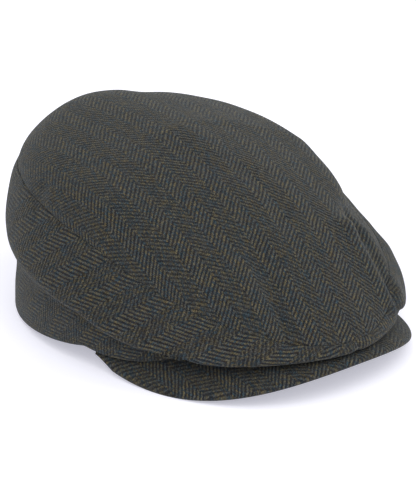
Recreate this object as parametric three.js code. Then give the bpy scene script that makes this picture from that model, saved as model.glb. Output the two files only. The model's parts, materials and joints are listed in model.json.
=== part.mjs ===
// A flat cap in wool cloth: a long top panel, two side panels that wrap round below it and meet at the
// centre front and the centre back, and a stiff peak that the crown's front overhangs.
// Millimetres. X runs to the wearer's left, Y to the back of the head and Z up. The cap stands on the
// back of its hem and on the two low shoulders of its arched peak.
import * as THREE from "three";

// Head opening, measured on the outside of the hem. Reaches run from the middle of the opening.
const OPENING_WIDTH = 180;
const OPENING_FRONT = 98;
const OPENING_BACK = 108;
// How much of the hem's curve the table flattens, so that it lies on a stretch and not on a point.
const HEM_SETTLE = 0.6;
// The crown at its fullest.
const CROWN_WIDTH = 195;
const CROWN_FRONT = 130;
const CROWN_BACK = 114;
const CROWN_HEIGHT = 109.5;
// Cloth, and the gap left between pieces that are sewn together.
const CLOTH = 2;
const SEAM_GAP = 0.4;
// The seam between the top panel and the side panels pulls the cloth in along a narrow groove.
const SEAM_DEPTH = 0.8;
const SEAM_BREADTH = 4;
// The peak is a board with cloth on both sides. From above it is a full ellipse whose power says how
// square its shoulders are. Its middle surface is arched from side to side and slopes up to the brow.
const PEAK_HALF = 88;
const PEAK_REACH = 133.5;
const PEAK_CORNER_BACK = 17;
const PEAK_POWER = 2.25;
const PEAK_TIP_RISE = 18.3;
const PEAK_ARCH = 39.8;
const PEAK_ARCH_POWER = 2.2;
const PEAK_SLOPE = 0.255;
const PEAK_THICKNESS = 4;
const PEAK_CORNER_ANGLE = 80;
// The hem keeps to the peak's surface a little past its corners.
const HEM_CORNER_ANGLE = 84;
// Past them it falls to the table, the steeper at first the higher this power.
const HEM_FALL = 3;

// Plan of each section of the crown. "at" is the place along the section, from 0 at the hem to 1 at the
// middle of the top. Width, front and back are shares of the crown's own, and shift moves the section
// to the back by a share of CROWN_BACK. The hem takes the opening's sizes.
const PLANS = [
  { at: 0.14, width: 0.92, front: 0.815, back: 0.925, shift: 0 },
  { at: 0.28, width: 1, front: 0.985, back: 0.97, shift: 0 },
  { at: 0.42, width: 0.85, front: 1, back: 1, shift: 0 },
  { at: 0.56, width: 0.718, front: 0.84, back: 0.835, shift: 0.036 },
  { at: 0.7, width: 0.51, front: 0.625, back: 0.66, shift: 0.069 },
  { at: 0.85, width: 0.277, front: 0.358, back: 0.341, shift: 0.117 },
  { at: 1, width: 0, front: 0, back: 0, shift: 0.156 },
];
// Rise of the same sections at the brow, the temples, the ears and the nape, as shares of CROWN_HEIGHT.
// It is added to the hem's own rise, which fades out towards the top.
const RISES = [
  { brow: 0.028, temple: 0.07, ear: 0.21, nape: 0.2 },
  { brow: 0.014, temple: 0.085, ear: 0.3, nape: 0.5 },
  { brow: 0.115, temple: 0.285, ear: 0.59, nape: 0.705 },
  { brow: 0.367, temple: 0.54, ear: 0.775, nape: 0.88 },
  { brow: 0.62, temple: 0.725, ear: 0.87, nape: 0.952 },
  { brow: 0.84, temple: 0.885, ear: 0.945, nape: 0.99 },
  { brow: 1, temple: 1, ear: 1, nape: 1 },
];
const SEAM_AT = 0.42;

// Folds of the crown. Each runs over the surface along a line of points, given as an angle in degrees
// from the centre front towards the wearer's left and a place along the section. Breadth and height are
// shares of CROWN_WIDTH, and a height below 0 is a valley.
const FOLDS = [
  { line: [[80, 0.46], [66, 0.48], [56, 0.52]], breadth: 0.055, height: -0.022 },
  { line: [[46, 0.555], [38, 0.53], [34, 0.46], [32, 0.36]], breadth: 0.03, height: -0.022 },
  { line: [[36, 0.6], [29, 0.53], [27, 0.44]], breadth: 0.035, height: 0.008 },
  { line: [[58, 0.36], [50, 0.34], [40, 0.31]], breadth: 0.06, height: 0.016 },
  { line: [[-24, 0.64], [-24.5, 0.54], [-25.5, 0.44]], breadth: 0.035, height: -0.011 },
  { line: [[-36, 0.6], [-36, 0.44]], breadth: 0.05, height: 0.006 },
  { line: [[10, 0.76], [2, 0.72]], breadth: 0.04, height: -0.007 },
  { line: [[150, 0.68], [150, 0.58]], breadth: 0.05, height: -0.007 },
];
// Points a fold's line is cut into between two of its own, so that it follows the surface.
const FOLD_STEPS = 4;

// Grids: columns round half of the crown, rows over the panels, and columns and rows of the peak. The
// columns crowd towards the front by a share of their even spacing, and the rows towards the seam by a
// power of it.
const HALF_ROUND = 48;
const SIDE_ROWS = 10;
const TOP_ROWS = 14;
const COLUMN_CROWDING = 0.4;
const ROW_CROWDING = 1.5;
const PEAK_COLUMNS = 48;
const PEAK_ROWS = 6;
// The peak's rounded edge: steps from its flat faces, and how far round they go.
const EDGE_STEPS = 4;
const EDGE_TURN = 75;
// A small difference in angle or place, to measure the surface by.
const STEP = 1e-3;

const radians = THREE.MathUtils.degToRad;

// The peak's middle surface.
function peakMiddle(x, y) {
  const arch = PEAK_ARCH * Math.abs(x / PEAK_HALF) ** PEAK_ARCH_POWER;
  return PEAK_TIP_RISE - arch + PEAK_SLOPE * (y + PEAK_REACH);
}

// A value that runs round the crown through its values at the brow, temples, ears and nape.
function roundValue(angle, brow, temple, ear, nape) {
  const mean = (brow + nape) / 2;
  const tilt = (brow - nape) / 2;
  const middle = (mean + ear) / 2;
  const lift = (temple - middle) * Math.SQRT2;
  return (
    middle +
    ((tilt + lift) / 2) * Math.cos(angle) +
    ((mean - ear) / 2) * Math.cos(2 * angle) +
    ((tilt - lift) / 2) * Math.cos(3 * angle)
  );
}

// The plan of the hem's inner edge, where the peak is sewn on.
function hemInner(angle) {
  const x = (OPENING_WIDTH / 2 - CLOTH) * Math.sin(angle);
  const y = (CLOTH - OPENING_FRONT) * Math.cos(angle);
  return { x, y };
}

// The hem rests on the peak from corner to corner, and comes down from there to the table at the nape.
function hemRise(angle) {
  const turn = Math.abs(Math.atan2(Math.sin(angle), Math.cos(angle)));
  const corner = radians(HEM_CORNER_ANGLE);
  const { x, y } = hemInner(Math.min(turn, corner));
  const rise = peakMiddle(x, y) + PEAK_THICKNESS / 2 + SEAM_GAP;
  const past = Math.max(0, turn - corner) / (Math.PI - corner);
  return Math.max(0, rise * (1 - past) ** HEM_FALL - HEM_SETTLE * Math.min(1, 3 * past));
}

// The sections in millimetres, with the hem in front of them.
const hemRow = { at: 0, width: OPENING_WIDTH, front: OPENING_FRONT, back: OPENING_BACK };
const rows = [
  { ...hemRow, shift: 0, brow: 0, temple: 0, ear: 0, nape: 0 },
  ...PLANS.map((plan, i) => ({
    at: plan.at,
    width: plan.width * CROWN_WIDTH,
    front: plan.front * CROWN_FRONT,
    back: plan.back * CROWN_BACK,
    shift: plan.shift * CROWN_BACK,
    brow: RISES[i].brow * CROWN_HEIGHT,
    temple: RISES[i].temple * CROWN_HEIGHT,
    ear: RISES[i].ear * CROWN_HEIGHT,
    nape: RISES[i].nape * CROWN_HEIGHT,
  })),
];

// The slope of one column of the sections at row i. The rises level out at the top.
function slopeAt(i, key) {
  const last = rows.length - 1;
  const step = (j) => (rows[j + 1][key] - rows[j][key]) / (rows[j + 1].at - rows[j].at);
  if (i === 0) return step(0);
  if (i === last) return key in RISES[0] ? 0 : step(last - 1);
  const before = rows[i].at - rows[i - 1].at;
  const after = rows[i + 1].at - rows[i].at;
  return (step(i - 1) * after + step(i) * before) / (before + after);
}

// One column of the sections at any place along them, on a smooth curve through the rows.
function sectionValue(key, at) {
  const i = Math.max(0, rows.findLastIndex((row, j) => row.at <= at && j < rows.length - 1));
  const span = rows[i + 1].at - rows[i].at;
  const t = (at - rows[i].at) / span;
  const ease = t * t * (3 - 2 * t);
  return (
    rows[i][key] * (1 - ease) +
    rows[i + 1][key] * ease +
    span * t * (1 - t) * (slopeAt(i, key) * (1 - t) - slopeAt(i + 1, key) * t)
  );
}

// The crown's outer surface before its folds.
function plainCrown(angle, at) {
  const value = (key) => sectionValue(key, at);
  const reach = Math.cos(angle) > 0 ? value("front") : value("back");
  const rise = roundValue(angle, value("brow"), value("temple"), value("ear"), value("nape"));
  return new THREE.Vector3(
    (value("width") / 2) * Math.sin(angle),
    value("shift") - reach * Math.cos(angle),
    hemRise(angle) * (1 - at) + rise,
  );
}

// The outward normal of a surface given by a function of angle and place.
function normalOf(surface, angle, at) {
  const low = Math.max(0, at - STEP);
  const high = Math.min(1 - STEP, at + STEP);
  const round = surface(angle + STEP, high).sub(surface(angle - STEP, high));
  const up = surface(angle, high).sub(surface(angle, low));
  return round.cross(up).normalize();
}

// The folds' lines in space, as chains of short straight parts.
const chains = FOLDS.map(({ line }) => {
  const points = [];
  for (let i = 0; i < FOLD_STEPS * (line.length - 1) + 1; i++) {
    const from = Math.min(line.length - 2, Math.floor(i / FOLD_STEPS));
    const share = i / FOLD_STEPS - from;
    const angle = THREE.MathUtils.lerp(line[from][0], line[from + 1][0], share);
    const at = THREE.MathUtils.lerp(line[from][1], line[from + 1][1], share);
    points.push(plainCrown(radians(angle), at));
  }
  return points.slice(1).map((point, i) => new THREE.Line3(points[i], point));
});

// How far all folds together raise the surface at a point.
function foldRise(point) {
  const nearest = new THREE.Vector3();
  const rises = FOLDS.map(({ breadth, height }, i) => {
    const gaps = chains[i].map((part) => part.closestPointToPoint(point, true, nearest).distanceTo(point));
    return height * CROWN_WIDTH * Math.exp(-((Math.min(...gaps) / (breadth * CROWN_WIDTH)) ** 2));
  });
  return rises.reduce((sum, rise) => sum + rise, 0);
}

// The depth of the groove at the seam, which a point's distance from the seam sets.
function seamDip(angle, at) {
  const along = plainCrown(angle, at).distanceTo(plainCrown(angle, SEAM_AT));
  return SEAM_DEPTH * Math.exp(-((along / SEAM_BREADTH) ** 2));
}

// The crown's outer surface, with its folds and its seam.
function crown(angle, at) {
  const point = plainCrown(angle, at);
  const rise = foldRise(point) - seamDip(angle, at);
  return point.addScaledVector(normalOf(plainCrown, angle, at), rise);
}

// The inner face of the cloth. At the hem it comes down no lower than the outer face.
function crownInside(angle, at) {
  const inward = normalOf(crown, angle, at).negate();
  if (at === 0) inward.setZ(Math.max(0, inward.z)).normalize();
  return crown(angle, at).addScaledVector(inward, CLOTH);
}

// A closed solid between an outer sheet and an inner sheet that share one set of triangles.
function thicken(outer, inner, triangles) {
  const count = outer.length;
  const faces = [];
  const twins = new Set(triangles.flatMap(([a, b, c]) => [`${a},${b}`, `${b},${c}`, `${c},${a}`]));
  for (const [a, b, c] of triangles) {
    faces.push(a, b, c, c + count, b + count, a + count);
    for (const [from, to] of [[a, b], [b, c], [c, a]]) {
      if (twins.has(`${to},${from}`)) continue;
      faces.push(to, from, from + count, to, from + count, to + count);
    }
  }
  const geometry = new THREE.BufferGeometry().setFromPoints([...outer, ...inner]);
  geometry.setIndex(faces);
  geometry.computeVertexNormals();
  return geometry;
}

// The triangles of a grid of rows and columns, in the order of its points.
function gridTriangles(rowCount, columnCount) {
  const triangles = [];
  for (let row = 0; row + 1 < rowCount; row++) {
    for (let column = 0; column + 1 < columnCount; column++) {
      const a = row * columnCount + column;
      const b = a + columnCount;
      triangles.push([a, a + 1, b + 1], [a, b + 1, b]);
    }
  }
  return triangles;
}

// How far a step along the crown is in angle or place, so that a gap is the same width everywhere.
function placeStep(angle, at, distance) {
  return (distance * STEP) / crown(angle, at + STEP).distanceTo(crown(angle, at));
}

function angleStep(angle, at, distance) {
  return (distance * STEP) / crown(angle + STEP, at).distanceTo(crown(angle, at));
}

// The angle of a column from the centre front, for a share of half the way round.
function columnAngle(share) {
  return Math.PI * share - COLUMN_CROWDING * Math.sin(Math.PI * share);
}

// One side panel, from the centre front to the centre back, on the side that sign gives.
function sidePanel(sign) {
  const outer = [];
  const inner = [];
  for (let row = 0; row <= SIDE_ROWS; row++) {
    const climbed = 1 - (1 - row / SIDE_ROWS) ** ROW_CROWDING;
    const start = angleStep(0, climbed * SEAM_AT, SEAM_GAP / 2);
    const end = Math.PI - angleStep(Math.PI, climbed * SEAM_AT, SEAM_GAP / 2);
    for (let column = 0; column <= HALF_ROUND; column++) {
      const share = sign > 0 ? column / HALF_ROUND : 1 - column / HALF_ROUND;
      const angle = sign * THREE.MathUtils.clamp(columnAngle(share), start, end);
      const at = climbed * (SEAM_AT - placeStep(angle, SEAM_AT, SEAM_GAP / 2));
      outer.push(crown(angle, at));
      inner.push(crownInside(angle, at));
    }
  }
  return thicken(outer, inner, gridTriangles(SIDE_ROWS + 1, HALF_ROUND + 1));
}

// The top panel, from the seam to one point in the middle of the top.
function topPanel() {
  const outer = [];
  const inner = [];
  const columns = 2 * HALF_ROUND;
  const triangles = [];
  for (let row = 0; row < TOP_ROWS; row++) {
    for (let column = 0; column < columns; column++) {
      const angle = columnAngle(column / HALF_ROUND - 1);
      const start = SEAM_AT + placeStep(angle, SEAM_AT, SEAM_GAP / 2);
      const at = start + (1 - start) * (row / TOP_ROWS) ** ROW_CROWDING;
      outer.push(crown(angle, at));
      inner.push(crownInside(angle, at));
      const a = row * columns + column;
      const b = row * columns + ((column + 1) % columns);
      const above = row + 1 < TOP_ROWS;
      triangles.push(above ? [a, b, b + columns] : [a, b, TOP_ROWS * columns]);
      if (above) triangles.push([a, b + columns, a + columns]);
    }
  }
  outer.push(crown(0, 1));
  inner.push(crown(0, 1).setZ(crown(0, 1).z - CLOTH));
  return thicken(outer, inner, triangles);
}

// The plan of the peak's outer edge, from corner (-1) to corner (1).
function peakOuter(share) {
  const turn = (Math.PI / 2) * share;
  const fullness = (value) => Math.sign(value) * Math.abs(value) ** (2 / PEAK_POWER);
  const x = PEAK_HALF * fullness(Math.sin(turn));
  const y = -PEAK_CORNER_BACK - (PEAK_REACH - PEAK_CORNER_BACK) * fullness(Math.cos(turn));
  return new THREE.Vector2(x, y);
}

// The peak, a board with a rounded outer edge. Its thickness is measured upright.
function peak() {
  const upper = [];
  const lower = [];
  const bands = [];
  for (let row = 0; row <= PEAK_ROWS; row++) bands.push({ share: row / PEAK_ROWS, turn: 0 });
  for (let step = 1; step <= EDGE_STEPS; step++) {
    bands.push({ share: 1, turn: (step / EDGE_STEPS) * radians(EDGE_TURN) });
  }
  for (const band of bands) {
    for (let column = 0; column <= PEAK_COLUMNS; column++) {
      const share = (column / PEAK_COLUMNS) * 2 - 1;
      const { x, y } = hemInner(radians(PEAK_CORNER_ANGLE) * share);
      const edge = peakOuter(share);
      const outward = edge.clone().sub({ x, y });
      const round = Math.min(PEAK_THICKNESS, outward.length()) / 2;
      outward.normalize();
      const point = new THREE.Vector2(x, y).lerp(edge.addScaledVector(outward, -round), band.share);
      point.addScaledVector(outward, round * Math.sin(band.turn));
      const middle = peakMiddle(point.x, point.y);
      const half = (PEAK_THICKNESS / 2) * Math.cos(band.turn);
      upper.push(new THREE.Vector3(point.x, point.y, middle + half));
      lower.push(new THREE.Vector3(point.x, point.y, middle - half));
    }
  }
  const triangles = gridTriangles(bands.length, PEAK_COLUMNS + 1);
  return thicken(upper, lower, triangles.map(([a, b, c]) => [a, c, b]));
}

function wool(color) {
  return new THREE.MeshStandardMaterial({ color, roughness: 0.95, metalness: 0 });
}

const cap = new THREE.Group();
function add(name, geometry, color) {
  const mesh = new THREE.Mesh(geometry, wool(color));
  mesh.name = name;
  cap.add(mesh);
}

add("top_panel", topPanel(), 0x3a3d36);
add("side_panel_left", sidePanel(1), 0x363a34);
add("side_panel_right", sidePanel(-1), 0x363a34);
add("peak", peak(), 0x34372f);

// The origin is below the middle of the cap, on the table.
const box = new THREE.Box3().setFromObject(cap, true);
const middle = box.getCenter(new THREE.Vector3());
cap.position.set(-middle.x, -middle.y, -box.min.z);

export default cap;
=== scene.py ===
"""A flat cap in herringbone wool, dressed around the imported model.

The cap's own form is worked out in millimetres with the same named sizes as the frame's solids, and goes
into Blender in metres. X runs to the wearer's left, Y to the back of the head and Z up.
"""
import json
import math

import bpy
import numpy as np
from mathutils import Matrix, Vector

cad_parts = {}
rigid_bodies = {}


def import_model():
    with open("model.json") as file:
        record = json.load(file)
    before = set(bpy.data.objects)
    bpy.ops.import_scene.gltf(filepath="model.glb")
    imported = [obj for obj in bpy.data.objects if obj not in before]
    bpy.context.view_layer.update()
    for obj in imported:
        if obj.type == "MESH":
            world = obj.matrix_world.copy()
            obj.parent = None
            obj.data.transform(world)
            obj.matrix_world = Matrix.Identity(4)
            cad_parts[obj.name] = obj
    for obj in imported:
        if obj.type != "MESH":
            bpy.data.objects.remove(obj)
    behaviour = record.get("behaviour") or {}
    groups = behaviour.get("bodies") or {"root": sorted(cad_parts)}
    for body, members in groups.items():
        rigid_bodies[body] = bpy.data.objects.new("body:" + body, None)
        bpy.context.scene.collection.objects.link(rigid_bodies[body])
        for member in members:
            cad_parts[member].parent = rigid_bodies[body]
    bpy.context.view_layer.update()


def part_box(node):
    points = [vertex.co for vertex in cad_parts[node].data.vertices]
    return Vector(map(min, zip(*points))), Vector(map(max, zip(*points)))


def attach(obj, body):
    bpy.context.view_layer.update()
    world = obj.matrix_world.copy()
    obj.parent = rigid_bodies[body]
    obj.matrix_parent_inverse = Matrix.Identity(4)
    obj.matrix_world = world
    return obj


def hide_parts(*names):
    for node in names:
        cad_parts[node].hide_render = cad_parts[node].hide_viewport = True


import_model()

METRES = 0.001

# Head opening, measured on the outside of the hem. Reaches run from the middle of the opening.
OPENING_WIDTH = 180
OPENING_FRONT = 98
OPENING_BACK = 108
# How far the hem settles onto the table past the peak's corners, and how soon.
HEM_SETTLE = 0.6
HEM_SETTLE_RATE = 3
# The crown at its fullest.
CROWN_WIDTH = 195
CROWN_FRONT = 130
CROWN_BACK = 114
CROWN_HEIGHT = 109.5
# Cloth, the fit between pieces, and the groove that a seam pulls into the crown.
CLOTH = 2
HEM_GAP = 0.4
SEAM_DEPTH = 0.8
SEAM_BREADTH = 4
# The peak: plan, middle surface and thickness.
PEAK_HALF = 88
PEAK_REACH = 133.5
PEAK_CORNER_BACK = 17
PEAK_POWER = 2.25
PEAK_TIP_RISE = 18.3
PEAK_ARCH = 39.8
PEAK_ARCH_POWER = 2.2
PEAK_SLOPE = 0.255
PEAK_THICKNESS = 4
# Share of the way from the peak's middle to its corner over which the board thins, and what is left of it.
PEAK_TAPER = 0.06
PEAK_CORNER_THICKNESS = 0.8
# How far the peak goes on inside the hem, so that no light shows between them.
PEAK_TUCK = 3
PEAK_CORNER_ANGLE = math.radians(80)
HEM_CORNER_ANGLE = math.radians(84)
HEM_FALL = 3

# Sections of the crown from the hem to the middle of the top. The columns are the place, then the width,
# front and back as shares of the crown's own, and the shift to the back as a share of CROWN_BACK.
PLANS = (
    (0.14, 0.92, 0.815, 0.925, 0),
    (0.28, 1, 0.985, 0.97, 0),
    (0.42, 0.85, 1, 1, 0),
    (0.56, 0.718, 0.84, 0.835, 0.036),
    (0.7, 0.51, 0.625, 0.66, 0.069),
    (0.85, 0.277, 0.358, 0.341, 0.117),
    (1, 0, 0, 0, 0.156),
)
# Rise of the same sections as shares of CROWN_HEIGHT, above the hem's own rise.
RISE_COLUMNS = ("brow", "temple", "ear", "nape")
RISES = (
    (0.028, 0.07, 0.21, 0.2),
    (0.014, 0.085, 0.3, 0.5),
    (0.115, 0.285, 0.59, 0.705),
    (0.367, 0.54, 0.775, 0.88),
    (0.62, 0.725, 0.87, 0.952),
    (0.84, 0.885, 0.945, 0.99),
    (1, 1, 1, 1),
)
SEAM_AT = 0.42

# Folds: a line of (angle, place) over the surface, then breadth and height as shares of CROWN_WIDTH.
FOLDS = (
    (((80, 0.46), (66, 0.48), (56, 0.52)), 0.055, -0.022),
    (((46, 0.555), (38, 0.53), (34, 0.46), (32, 0.36)), 0.03, -0.022),
    (((36, 0.6), (29, 0.53), (27, 0.44)), 0.035, 0.008),
    (((58, 0.36), (50, 0.34), (40, 0.31)), 0.06, 0.016),
    (((-24, 0.64), (-24.5, 0.54), (-25.5, 0.44)), 0.035, -0.011),
    (((-36, 0.6), (-36, 0.44)), 0.05, 0.006),
    (((10, 0.76), (2, 0.72)), 0.04, -0.007),
    (((150, 0.68), (150, 0.58)), 0.05, -0.007),
)
FOLD_STEPS = 6
# Shallower creases that only the look has, in the same columns.
CREASES = (
    (((-84, 0.36), (-76, 0.355), (-66, 0.345), (-56, 0.32)), 0.045, -0.018),
    (((-29, 0.61), (-26.5, 0.515), (-25, 0.43)), 0.022, -0.006),
    (((12, 0.84), (8, 0.82)), 0.022, -0.005),
    (((-112, 0.45), (-108, 0.4)), 0.03, -0.005),
    (((50, 0.56), (42, 0.49), (37, 0.4), (35, 0.34)), 0.022, -0.012),
    (((38, 0.58), (32, 0.5), (28, 0.4)), 0.03, 0.012),
    (((-155, 0.07), (-130, 0.07), (-100, 0.07), (-66, 0.09)), 0.065, 0.011),
    (((44, 0.34), (36, 0.31)), 0.03, -0.01),
    (((66, 0.39), (52, 0.38)), 0.045, 0.007),
)

# Soft unevenness of the cloth: size of the swells and their height. They fade out over this much of the
# place next to the hem.
SWELLS = ((38, 0.8), (15, 0.3))
HEM_FADE = 0.05
LATTICE_SEED = 11
LATTICE_SIZE = 32
# Puckers along the seam: their spacing, how far they reach from it and their height.
PUCKER_SPACING = 9
PUCKER_REACH = 9
PUCKER_HEIGHT = 0.35
# The side panels' own seams at the centre front and back.
CENTRE_SEAM_DEPTH = 0.7
CENTRE_SEAM_BREADTH = 3
CENTRE_SEAM_FADE = 0.03
# How far the rolled edges of two panels are pulled into each other at a seam.
SEAM_PULL = 0.2
# A rolled edge is round at 1 and square at 0.
ROLL_ROUNDNESS = 0.85

# Grids of the fine meshes. Columns crowd towards the front, and rows towards the seam.
HALF_ROUND = 150
FRONT_CROWDING = 0.3
SIDE_ROWS = 52
TOP_ROWS = 66
ROW_CROWDING = 1.6
ROLL_STEPS = 6
PEAK_COLUMNS = 170
PEAK_ROWS = 26
ARCH_STEPS = 60
UNWRAP_ROUNDS = 20
# A small step in angle or place, to measure slopes with.
STEP = 1e-3

# The weave: yarn spacing, how many ends run one way before the twill turns back, and how round a yarn is.
YARN = 0.76
COLUMN_ENDS = 13
YARN_ROUNDNESS = 2.2
# How much clearer the columns that run one way look than the others.
CLEARER_WAY = -0.4
# How far the cloth is pulled out of line over its length and from yarn to yarn, and how often it strays.
DRIFT = 0.8
WAVER = 0.75
STRAY = 2.6
# A yarn's own colour: how it is stretched along the yarn, and how far the next yarn is from it in the noise.
DYE_STRETCH = 0.14
DYE_APART = 3.7
# How far the warp is turned, in degrees: from the middle line on the top, from the front seam on the sides.
TOP_GRAIN_TURN = 4
SIDE_GRAIN_TURN = -23


def section_table():
    """Rows of at, width, front, back, shift, brow, temple, ear and nape in millimetres, from the hem."""
    sizes = np.array([1, CROWN_WIDTH, CROWN_FRONT, CROWN_BACK, CROWN_BACK])
    body = np.hstack([np.array(PLANS) * sizes, np.array(RISES) * CROWN_HEIGHT])
    hem = [0, OPENING_WIDTH, OPENING_FRONT, OPENING_BACK] + [0] * (body.shape[1] - 4)
    return np.vstack([hem, body])


def section_slopes(table):
    """The slope of each column at each row. The rises level out at the top."""
    at, values = table[:, 0], table[:, 1:]
    steps = np.diff(values, axis=0) / np.diff(at)[:, None]
    spans = np.diff(at)[:, None]
    slopes = np.empty_like(values)
    slopes[0], slopes[-1] = steps[0], steps[-1]
    slopes[-1, -len(RISE_COLUMNS):] = 0
    slopes[1:-1] = (steps[:-1] * spans[1:] + steps[1:] * spans[:-1]) / (spans[1:] + spans[:-1])
    return slopes


TABLE = section_table()
SLOPES = section_slopes(TABLE)


def section_values(at):
    """Every column of the sections at any place along them, on smooth curves through the rows."""
    i = np.clip(np.searchsorted(TABLE[:, 0], at, side="right") - 1, 0, len(TABLE) - 2)
    span = (TABLE[i + 1, 0] - TABLE[i, 0])[..., None]
    t = (at - TABLE[i, 0])[..., None] / span
    ease = t * t * (3 - 2 * t)
    bend = SLOPES[i] * (1 - t) - SLOPES[i + 1] * t
    values = TABLE[i, 1:] * (1 - ease) + TABLE[i + 1, 1:] * ease + span * t * (1 - t) * bend
    return np.moveaxis(values, -1, 0)


def round_value(angle, brow, temple, ear, nape):
    """A value that runs round the crown through its values at the brow, temples, ears and nape."""
    mean, tilt = (brow + nape) / 2, (brow - nape) / 2
    middle = (mean + ear) / 2
    lift = (temple - middle) * math.sqrt(2)
    first = (tilt + lift) / 2 * np.cos(angle)
    third = (tilt - lift) / 2 * np.cos(3 * angle)
    return middle + first + (mean - ear) / 2 * np.cos(2 * angle) + third


def peak_middle(x, y):
    """The height of the surface through the middle of the peak's thickness."""
    arch = PEAK_ARCH * np.abs(x / PEAK_HALF) ** PEAK_ARCH_POWER
    return PEAK_TIP_RISE - arch + PEAK_SLOPE * (y + PEAK_REACH)


def hem_inner(angle):
    """The plan of the hem's inner edge, where the peak is sewn on."""
    x = (OPENING_WIDTH / 2 - CLOTH) * np.sin(angle)
    y = (CLOTH - OPENING_FRONT) * np.cos(angle)
    return x, y


def hem_rise(angle):
    """The hem rests on the peak from corner to corner, and comes down to the table at the nape."""
    turn = np.abs(np.arctan2(np.sin(angle), np.cos(angle)))
    rise = peak_middle(*hem_inner(np.minimum(turn, HEM_CORNER_ANGLE))) + PEAK_THICKNESS / 2 + HEM_GAP
    past = np.maximum(0, turn - HEM_CORNER_ANGLE) / (math.pi - HEM_CORNER_ANGLE)
    return np.maximum(0, rise * (1 - past) ** HEM_FALL - HEM_SETTLE * np.minimum(1, HEM_SETTLE_RATE * past))


def plain_crown(angle, at):
    """The crown's outer surface before its folds."""
    width, front, back, shift, brow, temple, ear, nape = section_values(at)
    reach = np.where(np.cos(angle) > 0, front, back)
    rise = round_value(angle, brow, temple, ear, nape)
    x = width / 2 * np.sin(angle)
    y = shift - reach * np.cos(angle)
    return np.stack([x, y, hem_rise(angle) * (1 - at) + rise], -1)


def unit(vectors):
    """The same ways at length one."""
    return vectors / np.maximum(np.linalg.norm(vectors, axis=-1, keepdims=True), 1e-12)


def normals(surface, angle, at):
    """The outward normals of a surface given by a function of angle and place."""
    low, high = np.maximum(0, at - STEP), np.minimum(1 - STEP, at + STEP)
    around = surface(angle + STEP, high) - surface(angle - STEP, high)
    up = surface(angle, high) - surface(angle, low)
    return unit(np.cross(around, up))


def fold_chain(line):
    """A fold's line in space as a chain of short straight parts."""
    knots = np.arange(len(line))
    shares = np.linspace(0, len(line) - 1, FOLD_STEPS * (len(line) - 1) + 1)
    angle = np.radians(np.interp(shares, knots, [point[0] for point in line]))
    return plain_crown(angle, np.interp(shares, knots, [point[1] for point in line]))


CHAINS = [(fold_chain(line), breadth, height) for line, breadth, height in FOLDS + CREASES]


def distance_to_chain(points, chain):
    """How far each point is from the nearest part of a chain."""
    nearest = np.full(points.shape[:-1], np.inf)
    for start, end in zip(chain[:-1], chain[1:]):
        along = end - start
        share = np.clip((points - start) @ along / (along @ along), 0, 1)
        gap = np.linalg.norm(points - start - share[..., None] * along, axis=-1)
        nearest = np.minimum(nearest, gap)
    return nearest


def fold_rise(points):
    """How far the folds and creases lift the crown at each point."""
    rise = np.zeros(points.shape[:-1])
    for chain, breadth, height in CHAINS:
        gap = distance_to_chain(points, chain)
        rise += height * CROWN_WIDTH * np.exp(-((gap / (breadth * CROWN_WIDTH)) ** 2))
    return rise


LATTICE = np.random.default_rng(LATTICE_SEED).uniform(-1, 1, (LATTICE_SIZE,) * 3)


def soft_noise(points):
    """Smooth noise from -1 to 1 on a seeded lattice with a spacing of one unit."""
    cell = np.floor(points).astype(int)
    t = points - cell
    t = t * t * (3 - 2 * t)
    total = np.zeros(points.shape[:-1])
    for corner in np.ndindex(2, 2, 2):
        weight = np.prod(np.where(corner, t, 1 - t), axis=-1)
        i, j, k = np.moveaxis((cell + corner) % LATTICE_SIZE, -1, 0)
        total += weight * LATTICE[i, j, k]
    return total


def swell(points):
    """How far the soft unevenness lifts the cloth at each point."""
    return sum(height * soft_noise(points / size + size) for size, height in SWELLS)


def crown(angle, at):
    """The crown's outer surface with its folds, swells, seam groove and puckers."""
    points = plain_crown(angle, at)
    seam = plain_crown(angle, np.full_like(at, SEAM_AT))
    from_seam = np.linalg.norm(points - seam, axis=-1)
    groove = SEAM_DEPTH * np.exp(-((from_seam / SEAM_BREADTH) ** 2))
    pucker = PUCKER_HEIGHT * soft_noise(seam / PUCKER_SPACING) * np.exp(-((from_seam / PUCKER_REACH) ** 2))
    below = np.clip((SEAM_AT - at) / CENTRE_SEAM_FADE, 0, 1)
    centre = CENTRE_SEAM_DEPTH * np.exp(-((points[..., 0] / CENTRE_SEAM_BREADTH) ** 2)) * below
    settled = np.clip(at / HEM_FADE, 0, 1)
    rise = fold_rise(points) + (swell(points) + pucker) * settled - groove - centre
    return points + rise[..., None] * normals(plain_crown, angle, at)


def inside(angle, at):
    """The inner face of the cloth."""
    return crown(angle, at) - CLOTH * normals(crown, angle, at)


def place_step(angle, at, distance):
    """How far a step along the crown is in place."""
    reach = np.linalg.norm(crown(angle, at + STEP) - crown(angle, at), axis=-1)
    return distance * STEP / reach


def roll(outer, inner, outward):
    """The points of a rolled edge between an outer and an inner edge, which bulges along outward."""
    middle, half = (outer + inner) / 2, (outer - inner) / 2
    radius = np.linalg.norm(half, axis=-1, keepdims=True)
    turns = np.linspace(0, math.pi, ROLL_STEPS + 1)[1:-1]

    def square(value):
        return math.copysign(abs(value) ** ROLL_ROUNDNESS, value)

    return [middle + half * square(math.cos(t)) + outward * radius * square(math.sin(t)) for t in turns]


def roll_offsets(radius):
    """How far the cloth has run past the edge at each point of a roll. It is folded at the outermost."""
    turns = np.linspace(0, math.pi, ROLL_STEPS + 1)[1:-1]
    return [radius * min(t, math.pi - t) for t in turns]


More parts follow.
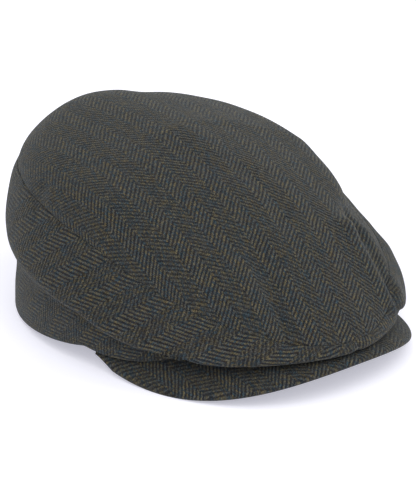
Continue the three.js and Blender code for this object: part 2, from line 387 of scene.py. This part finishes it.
def unwrap(name, points, faces):
    """Lays a sheet flat and gives each of its points a place on the cloth, in millimetres."""
    mesh = bpy.data.meshes.new(name)
    mesh.from_pydata(points.tolist(), [], faces)
    piece = bpy.data.objects.new(name, mesh)
    bpy.context.scene.collection.objects.link(piece)
    for other in bpy.context.view_layer.objects:
        other.select_set(other == piece)
    bpy.context.view_layer.objects.active = piece
    bpy.ops.object.mode_set(mode="EDIT")
    bpy.ops.mesh.select_all(action="SELECT")
    bpy.ops.uv.unwrap(method="MINIMUM_STRETCH", margin=0, correct_aspect=False, iterations=UNWRAP_ROUNDS)
    bpy.ops.object.mode_set(mode="OBJECT")
    corners = np.empty(len(mesh.loops), int)
    mesh.loops.foreach_get("vertex_index", corners)
    flat = np.empty(len(mesh.loops) * 2)
    mesh.uv_layers.active.data.foreach_get("uv", flat)
    places = np.zeros((len(points), 2))
    places[corners] = flat.reshape(-1, 2)
    edges = np.empty(len(mesh.edges) * 2, int)
    mesh.edges.foreach_get("vertices", edges)
    start, end = edges.reshape(-1, 2).T
    real = np.linalg.norm(points[start] - points[end], axis=1).sum()
    places *= real / np.linalg.norm(places[start] - places[end], axis=1).sum()
    bpy.data.objects.remove(piece)
    bpy.data.meshes.remove(mesh)
    return places


def align(places, start, end, turn):
    """Turns the cloth so that its warp runs from one point to another, bar a turn in degrees."""
    way = places[end] - places[start]
    angle = math.atan2(way[0], way[1]) + math.radians(turn)
    cos, sin = math.cos(angle), math.sin(angle)
    return (places - places[start]) @ np.array([[cos, sin], [-sin, cos]])


def grid_faces(row_count, column_count, wrap_rows=False, wrap_columns=False):
    """Quads of a grid of rows and columns, in the order of its points."""
    faces = []
    for row in range(row_count if wrap_rows else row_count - 1):
        above = (row + 1) % row_count
        for column in range(column_count if wrap_columns else column_count - 1):
            beside = (column + 1) % column_count
            faces.append(
                (
                    row * column_count + column,
                    row * column_count + beside,
                    above * column_count + beside,
                    above * column_count + column,
                )
            )
    return faces


def make_piece(name, points, faces, places, material):
    """A smooth mesh with a cloth map."""
    mesh = bpy.data.meshes.new(name)
    mesh.from_pydata((points * METRES).tolist(), [], faces)
    mesh.validate()
    mesh.shade_smooth()
    corners = np.empty(len(mesh.loops), int)
    mesh.loops.foreach_get("vertex_index", corners)
    cloth_map = mesh.uv_layers.new(name="weave")
    cloth_map.data.foreach_set("uv", places[corners].ravel())
    mesh.materials.append(material)
    piece = bpy.data.objects.new(name, mesh)
    bpy.context.scene.collection.objects.link(piece)
    return piece


def column_angles(count):
    """Angles from the centre front round one half, closer together towards the front."""
    share = np.linspace(0, 1, count + 1)
    return math.pi * share - FRONT_CROWDING * np.sin(math.pi * share)


def side_panel(sign):
    """Points, faces and cloth map of the side panel on the side that sign gives."""
    angles = column_angles(HALF_ROUND)
    angle = angles if sign > 0 else -angles[::-1]
    radius = CLOTH / 2
    hem = place_step(angle, np.zeros_like(angle), radius)
    seam = SEAM_AT - place_step(angle, np.full_like(angle, SEAM_AT), radius - SEAM_PULL / 2)
    climbed = 1 - (1 - np.linspace(0, 1, SIDE_ROWS + 1)) ** ROW_CROWDING
    at = hem + climbed[:, None] * (seam - hem)
    around = np.broadcast_to(angle, at.shape)
    outer, inner = crown(around, at), inside(around, at)
    flat = unwrap("side_flat", outer.reshape(-1, 3), grid_faces(*at.shape)).reshape(*at.shape, 2)
    up = unit(outer[1:] - outer[:-1])
    flat_up = unit(flat[1:] - flat[:-1])
    seam_roll = roll(outer[-1], inner[-1], up[-1])
    hem_roll = roll(inner[0], outer[0], -up[0])
    runs = roll_offsets(radius)
    loop = [*outer, *seam_roll, *inner[::-1], *hem_roll]
    places = [*flat]
    places += [flat[-1] + flat_up[-1] * run for run in runs]
    places += [*flat[::-1]]
    places += [flat[0] - flat_up[0] * run for run in runs]
    columns = HALF_ROUND + 1
    faces = grid_faces(len(loop), columns, wrap_rows=True)
    faces += end_caps(len(loop), columns)
    front = 0 if sign > 0 else HALF_ROUND
    places = align(np.concatenate(places), SIDE_ROWS * columns + front, front, sign * SIDE_GRAIN_TURN)
    return np.concatenate(loop), faces, places


def end_caps(loop_rows, columns):
    """Quads that close both ends of a panel's loop of rows."""
    faces = []
    inner_from = SIDE_ROWS + ROLL_STEPS
    for row in range(SIDE_ROWS):
        a, b = row, row + 1
        c, d = inner_from + SIDE_ROWS - b, inner_from + SIDE_ROWS - a
        first = [a * columns, b * columns, c * columns, d * columns]
        faces.append(tuple(first))
        faces.append(tuple(corner + columns - 1 for corner in reversed(first)))
    seam_ring = list(range(SIDE_ROWS, inner_from + 1))
    hem_ring = list(range(inner_from + SIDE_ROWS, loop_rows)) + [0]
    for ring in (seam_ring, hem_ring):
        faces.append(tuple(row * columns for row in ring))
        faces.append(tuple(row * columns + columns - 1 for row in reversed(ring)))
    return faces


def top_panel():
    """Points, faces and cloth map of the top panel, from the seam to the middle of the top."""
    half = column_angles(HALF_ROUND)
    angle = np.concatenate([half[:-1], 2 * math.pi - half[:0:-1]])
    columns = len(angle)
    radius = CLOTH / 2
    start = SEAM_AT + place_step(angle, np.full_like(angle, SEAM_AT), radius - SEAM_PULL / 2)
    climbed = np.linspace(0, 1, TOP_ROWS + 1)[:-1] ** ROW_CROWDING
    at = start + climbed[:, None] * (1 - start)
    around = np.broadcast_to(angle, at.shape)
    outer, inner = crown(around, at), inside(around, at)
    pole = crown(np.zeros(1), np.array([1 - STEP]))
    under_pole = pole - [0, 0, CLOTH]
    pole_faces = [
        ((TOP_ROWS - 1) * columns + i, (TOP_ROWS - 1) * columns + (i + 1) % columns, TOP_ROWS * columns)
        for i in range(columns)
    ]
    sheet_faces = grid_faces(TOP_ROWS, columns, wrap_columns=True) + pole_faces
    flat = unwrap("top_flat", np.concatenate([*outer, pole]), sheet_faces)
    flat = align(flat, 0, len(half) - 1, TOP_GRAIN_TURN)
    flat_rows = flat[:-1].reshape(TOP_ROWS, columns, 2)
    flat_down = unit(flat_rows[0] - flat_rows[1])
    seam_roll = roll(inner[0], outer[0], unit(outer[0] - outer[1]))
    runs = roll_offsets(radius)
    loop = [*inner[::-1], *seam_roll, *outer]
    places = [*flat_rows[::-1]] + [flat_rows[0] + flat_down * run for run in runs] + [*flat_rows]
    pole_point = len(loop) * columns
    faces = grid_faces(len(loop), columns, wrap_columns=True)
    last = (len(loop) - 1) * columns
    for i in range(columns):
        beside = (i + 1) % columns
        faces.append((last + i, last + beside, pole_point))
        faces.append((beside, i, pole_point + 1))
    points = np.concatenate([*loop, pole, under_pole])
    return points, faces, np.concatenate([*places, flat[-1:], flat[-1:]])


def peak_outer(share):
    """The plan of the peak's outer edge, from corner (-1) to corner (1)."""
    turn = math.pi / 2 * share
    across = np.sign(np.sin(turn)) * np.abs(np.sin(turn)) ** (2 / PEAK_POWER)
    ahead = np.abs(np.cos(turn)) ** (2 / PEAK_POWER)
    return PEAK_HALF * across, -PEAK_CORNER_BACK - (PEAK_REACH - PEAK_CORNER_BACK) * ahead


def peak():
    """Points, faces and cloth map of the peak, whose upper and lower cloth meet at its edge."""
    share = np.linspace(-1, 1, PEAK_COLUMNS + 1)
    start = np.stack(hem_inner(PEAK_CORNER_ANGLE * share), -1)
    edge = np.stack(peak_outer(share), -1)
    outward = unit(edge - start)
    start = start - outward * PEAK_TUCK
    radius = np.minimum(PEAK_THICKNESS, np.linalg.norm(edge - start, axis=-1))[:, None] / 2
    rows = []
    for depth in np.linspace(0, 1, PEAK_ROWS + 1):
        rows.append((start + (edge - outward * radius - start) * depth, 0.0))
    for step in range(1, ROLL_STEPS):
        turn = step / ROLL_STEPS * math.pi / 2
        rows.append((rows[PEAK_ROWS][0] + outward * radius * math.sin(turn), turn))
    upper, lower, places = [], [], []
    slope = math.hypot(1, PEAK_SLOPE)
    # The board thins from below towards its corners.
    full = PEAK_THICKNESS / 2
    thin = np.clip((1 - np.abs(share)) / PEAK_TAPER * full, PEAK_CORNER_THICKNESS / 2, full)
    arch_x = np.linspace(0, PEAK_HALF, ARCH_STEPS)
    arch_run = np.append(0, np.hypot(np.diff(arch_x), np.diff(peak_middle(arch_x, 0))).cumsum())
    for plan, turn in rows:
        middle = peak_middle(plan[:, 0], plan[:, 1]) + full - thin
        half = thin * math.cos(turn)
        upper.append(np.column_stack([plan, middle + half]))
        lower.append(np.column_stack([plan, middle - half]))
        across = np.sign(plan[:, 0]) * np.interp(np.abs(plan[:, 0]), arch_x, arch_run)
        rolled = outward * radius * (turn - math.sin(turn))
        places.append(np.column_stack([across, plan[:, 1] * slope]) + rolled)
    tip = np.column_stack([edge, peak_middle(edge[:, 0], edge[:, 1]) + full - thin])
    last_turn = rows[-1][1]
    tip_places = places[-1] + outward * radius * (math.pi / 2 - last_turn)
    loop = [*upper, tip, *lower[::-1]]
    columns = PEAK_COLUMNS + 1
    faces = [tuple(reversed(face)) for face in grid_faces(len(loop), columns, wrap_rows=True)]
    ring = [row * columns for row in range(len(loop))]
    faces.append(tuple(ring))
    faces.append(tuple(corner + columns - 1 for corner in reversed(ring)))
    return np.concatenate(loop), faces, np.concatenate([*places, tip_places, *places[::-1]])


class Graph:
    """Short ways to add and link shader nodes."""

    def __init__(self, name):
        self.material = bpy.data.materials.new(name)
        self.material.use_nodes = True
        self.tree = self.material.node_tree
        self.shader = self.tree.nodes["Principled BSDF"]

    def node(self, kind, **settings):
        node = self.tree.nodes.new(kind)
        for key, value in settings.items():
            setattr(node, key, value)
        return node

    def set(self, socket, value):
        if isinstance(value, bpy.types.NodeSocket):
            self.tree.links.new(value, socket)
        elif value is not None:
            socket.default_value = value

    def math(self, operation, first, second=None, third=None):
        node = self.node("ShaderNodeMath", operation=operation)
        for socket, value in zip(node.inputs, (first, second, third)):
            self.set(socket, value)
        return node.outputs[0]

    def centred(self, value, reach):
        """A value from 0 to 1 spread to either side of nothing."""
        return self.math("MULTIPLY_ADD", value, 2 * reach, -reach)

    def mix(self, share, first, second, blend="MIX"):
        node = self.node("ShaderNodeMix", data_type="RGBA", blend_type=blend)
        self.set(node.inputs[0], share)
        self.set(node.inputs[6], first)
        self.set(node.inputs[7], second)
        return node.outputs[2]

    def combine(self, x, y=0.0, z=0.0):
        node = self.node("ShaderNodeCombineXYZ")
        for socket, value in zip(node.inputs, (x, y, z)):
            self.set(socket, value)
        return node.outputs[0]

    def noise(self, vector, scale, detail=2.0, roughness=0.5):
        node = self.node("ShaderNodeTexNoise", noise_dimensions="3D")
        self.set(node.inputs["Vector"], vector)
        self.set(node.inputs["Scale"], scale)
        self.set(node.inputs["Detail"], detail)
        self.set(node.inputs["Roughness"], roughness)
        return node.outputs["Fac"]

    def spread(self, value, low, high, to_low=0.0, to_high=1.0):
        node = self.node("ShaderNodeMapRange", interpolation_type="SMOOTHSTEP")
        for socket, item in zip(node.inputs, (value, low, high, to_low, to_high)):
            self.set(socket, item)
        return node.outputs[0]

    def ramp(self, value, stops):
        node = self.node("ShaderNodeValToRGB")
        self.set(node.inputs[0], value)
        ramp = node.color_ramp
        while len(ramp.elements) < len(stops):
            ramp.elements.new(1)
        for element, (place, color) in zip(ramp.elements, stops):
            element.position = place
            element.color = (*color, 1)
        return node.outputs[0]


# Yarn colours as linear light. Each list runs from the yarns that are seldom seen to the common ones.
LIGHT_YARN = (
    (0.0, (0.03, 0.052, 0.064)),
    (0.3, (0.05, 0.056, 0.055)),
    (0.55, (0.07, 0.067, 0.052)),
    (0.8, (0.088, 0.079, 0.045)),
    (1.0, (0.098, 0.077, 0.04)),
)
DARK_YARN = (
    (0.0, (0.009, 0.0195, 0.027)),
    (0.35, (0.0115, 0.0138, 0.0195)),
    (0.7, (0.0145, 0.0135, 0.0165)),
    (1.0, (0.025, 0.0185, 0.0135)),
)


def herringbone(name):
    """Two and two twill that turns back every few ends, in light warp and dark weft."""
    g = Graph(name)
    cloth = g.node("ShaderNodeUVMap", uv_map="weave").outputs[0]
    split = g.node("ShaderNodeSeparateXYZ")
    g.set(split.inputs[0], cloth)
    # Where each point is on the cloth, counted in yarns, and the way its column runs.
    drift = g.centred(g.noise(cloth, 0.06, 3.0), DRIFT)
    waver = g.centred(g.noise(cloth, 0.6, 2.0), WAVER)
    ends = g.math("DIVIDE", g.math("ADD", split.outputs[0], g.math("ADD", drift, waver)), YARN)
    picks = g.math("DIVIDE", g.math("ADD", split.outputs[1], g.math("SUBTRACT", waver, drift)), YARN)
    end, pick = g.math("FLOOR", ends), g.math("FLOOR", picks)
    across_end = g.math("SUBTRACT", g.math("SUBTRACT", ends, end), 0.5)
    across_pick = g.math("SUBTRACT", g.math("SUBTRACT", picks, pick), 0.5)
    column = g.math("FLOOR", g.math("DIVIDE", end, COLUMN_ENDS))
    way = g.math("MULTIPLY_ADD", g.math("FLOORED_MODULO", column, 2.0), -2.0, 1.0)
    shift = g.math("MULTIPLY", g.math("FLOORED_MODULO", column, 2.0), 2.0)
    # Which yarn lies on top.
    warp_run = g.math("ADD", g.math("MULTIPLY_ADD", end, way, picks), shift)
    warp_phase = g.math("MULTIPLY", warp_run, math.pi / 2)
    from_end = g.math("MULTIPLY", way, g.math("SUBTRACT", across_end, 0.5))
    weft_run = g.math("ADD", g.math("MULTIPLY_ADD", end, way, pick), g.math("ADD", shift, from_end))
    weft_phase = g.math("MULTIPLY", weft_run, math.pi / 2)
    warp_lift = g.math("SINE", warp_phase)
    weft_lift = g.math("SINE", weft_phase)
    warp_round = g.math("POWER", g.math("MULTIPLY", across_end, YARN_ROUNDNESS), 2.0)
    weft_round = g.math("POWER", g.math("MULTIPLY", across_pick, YARN_ROUNDNESS), 2.0)
    warp_top = g.math("SUBTRACT", warp_lift, warp_round)
    weft_top = g.math("MULTIPLY", g.math("ADD", weft_lift, weft_round), -1.0)
    stray = g.centred(g.noise(cloth, 1.3, 2.0, 0.6), STRAY)
    clear = g.math("MULTIPLY_ADD", way, CLEARER_WAY, 1.0)
    stroke = g.math("MULTIPLY", g.math("SUBTRACT", warp_top, weft_top), clear)
    warp_seen = g.spread(g.math("ADD", stroke, stray), -1.1, 1.1, 0.06, 0.94)
    height = g.math("MAXIMUM", warp_top, weft_top)

    # The yarns' own colours, then the shade between them, uneven dye and lint.
    warp_place = g.combine(g.math("MULTIPLY", end, DYE_APART), g.math("MULTIPLY", picks, DYE_STRETCH))
    weft_place = g.combine(g.math("MULTIPLY", ends, DYE_STRETCH), g.math("MULTIPLY", pick, DYE_APART), 9.0)
    light = g.ramp(g.spread(g.noise(warp_place, 1.0, 2.0, 0.6), 0.3, 0.7), LIGHT_YARN)
    dark = g.ramp(g.spread(g.noise(weft_place, 1.0, 2.0, 0.6), 0.3, 0.7), DARK_YARN)
    color = g.mix(warp_seen, dark, light)
    groove = g.spread(height, -0.9, 0.3, 0.55, 1.0)
    color = g.mix(1.0, color, groove, "MULTIPLY")
    mottle = g.spread(g.noise(cloth, 0.3, 4.0, 0.7), 0.3, 0.7, 0.76, 1.24)
    color = g.mix(1.0, color, mottle, "MULTIPLY")
    grain = g.spread(g.noise(cloth, 1.1, 1.0), 0.3, 0.7, 0.66, 1.34)
    color = g.mix(1.0, color, grain, "MULTIPLY")
    lint = g.spread(g.noise(cloth, 2.3, 2.0, 0.6), 0.66, 0.8, 0.0, 0.35)
    color = g.mix(lint, color, (0.1, 0.1, 0.09, 1))
    g.set(g.shader.inputs["Base Color"], color)

    # Relief, and the soft sheen of wool.
    fibre = g.noise(cloth, 5.0, 2.0, 0.7)
    bump = g.node("ShaderNodeBump")
    g.set(bump.inputs["Strength"], 0.7)
    g.set(bump.inputs["Distance"], 0.2 * METRES)
    g.set(bump.inputs["Height"], g.math("MULTIPLY_ADD", fibre, 0.9, height))
    g.set(g.shader.inputs["Normal"], bump.outputs[0])
    g.set(g.shader.inputs["Roughness"], 0.9)
    g.set(g.shader.inputs["Specular IOR Level"], 0.15)
    g.set(g.shader.inputs["Sheen Weight"], 0.13)
    g.set(g.shader.inputs["Sheen Roughness"], 0.35)
    g.set(g.shader.inputs["Sheen Tint"], (0.95, 0.98, 0.95, 1))
    return g.material


# Soft lamps round the cap: place in metres and power in watts.
LAMP_SIZE = 1.2
LAMPS = (
    ("front", (-0.7, -0.79, 1.06), 11.8),
    ("back", (0.78, 0.88, 0.94), 3.2),
    ("wearers_right", (-0.85, 0.75, 0.98), 4),
    ("wearers_left", (0.85, -0.75, 0.98), 8),
)
# The floor's half width in metres, its colour and its glow, and the room's light.
FLOOR_REACH = 3.0
FLOOR_COLOR = (0.7, 0.7, 0.72, 1)
FLOOR_GLOW = (0.42, 0.42, 0.48, 1)
ROOM_COLOR = (0.97, 0.97, 1, 1)
ROOM_STRENGTH = 0.58


def studio():
    """A pale floor under soft white light."""
    mesh = bpy.data.meshes.new("floor")
    corners = [(x * FLOOR_REACH, y * FLOOR_REACH, 0) for x, y in ((-1, -1), (1, -1), (1, 1), (-1, 1))]
    mesh.from_pydata(corners, [], [(0, 1, 2, 3)])
    floor = bpy.data.objects.new("floor", mesh)
    bpy.context.scene.collection.objects.link(floor)
    paper = Graph("pale_floor")
    paper.set(paper.shader.inputs["Base Color"], FLOOR_COLOR)
    paper.set(paper.shader.inputs["Roughness"], 0.8)
    paper.set(paper.shader.inputs["Emission Color"], FLOOR_GLOW)
    paper.set(paper.shader.inputs["Emission Strength"], 1.0)
    mesh.materials.append(paper.material)
    world = bpy.data.worlds.new("white_room")
    world.use_nodes = True
    room = world.node_tree.nodes["Background"]
    room.inputs["Color"].default_value = ROOM_COLOR
    room.inputs["Strength"].default_value = ROOM_STRENGTH
    bpy.context.scene.world = world
    for name, place, power in LAMPS:
        area_light(name, place, power)


def area_light(name, place, power):
    """A square soft light that looks at the cap."""
    light = bpy.data.lights.new(name, "AREA")
    light.size = LAMP_SIZE
    light.energy = power
    lamp = bpy.data.objects.new(name, light)
    lamp.location = place
    lamp.rotation_euler = (-Vector(place)).to_track_quat("-Z", "Y").to_euler()
    bpy.context.scene.collection.objects.link(lamp)


# The photograph's view: its angle, and where the opening's middle stands in the picture.
CAMERA_AZIMUTH = math.radians(-41.5)
CAMERA_ELEVATION = math.radians(24.2)
CAMERA_DISTANCE = 8
PICTURE_WIDTH, PICTURE_HEIGHT = 416, 499
MM_PER_PIXEL = 0.545
OPENING_PIXEL = (196.4, 316.0)


def camera(opening):
    """A long lens, so that the cap shows as nearly parallel as in the photograph."""
    azimuth, elevation = CAMERA_AZIMUTH, CAMERA_ELEVATION
    level = Vector((math.sin(azimuth), -math.cos(azimuth), 0))
    back = level * math.cos(elevation) + Vector((0, 0, math.sin(elevation)))
    right = Vector((math.cos(azimuth), math.sin(azimuth), 0))
    up = back.cross(right)
    scale = MM_PER_PIXEL * METRES
    aim = opening + right * (PICTURE_WIDTH / 2 - OPENING_PIXEL[0]) * scale
    aim += up * (OPENING_PIXEL[1] - PICTURE_HEIGHT / 2) * scale
    data = bpy.data.cameras.new("camera")
    data.lens = data.sensor_width * CAMERA_DISTANCE / (PICTURE_HEIGHT * scale)
    view = bpy.data.objects.new("camera", data)
    turned = Matrix((right, up, back)).transposed().to_4x4()
    view.matrix_world = Matrix.Translation(aim + back * CAMERA_DISTANCE) @ turned
    bpy.context.scene.collection.objects.link(view)
    bpy.context.scene.camera = view


def frame_shift():
    """How far the frame's own middle is moved from the middle of the opening, in millimetres."""
    low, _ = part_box("peak")
    return np.array([0, low.y / METRES + PEAK_REACH, 0])


bpy.context.scene.view_settings.view_transform = "Standard"
SHIFT = frame_shift()
studio()
camera(Vector(SHIFT * METRES))

PIECES = (
    ("top_panel", top_panel, "top_cloth"),
    ("side_panel_left", lambda: side_panel(1), "side_cloth"),
    ("side_panel_right", lambda: side_panel(-1), "side_cloth"),
    ("peak", peak, "peak_cloth"),
)
for node, build, slot in PIECES:
    points, faces, places = build()
    # Nothing sinks into the floor.
    points[:, 2] = np.maximum(points[:, 2], 0)
    cloth = herringbone(slot)
    piece = make_piece(node + "_wool", points + SHIFT, faces, places, cloth)
    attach(piece, "root")
    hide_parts(node)
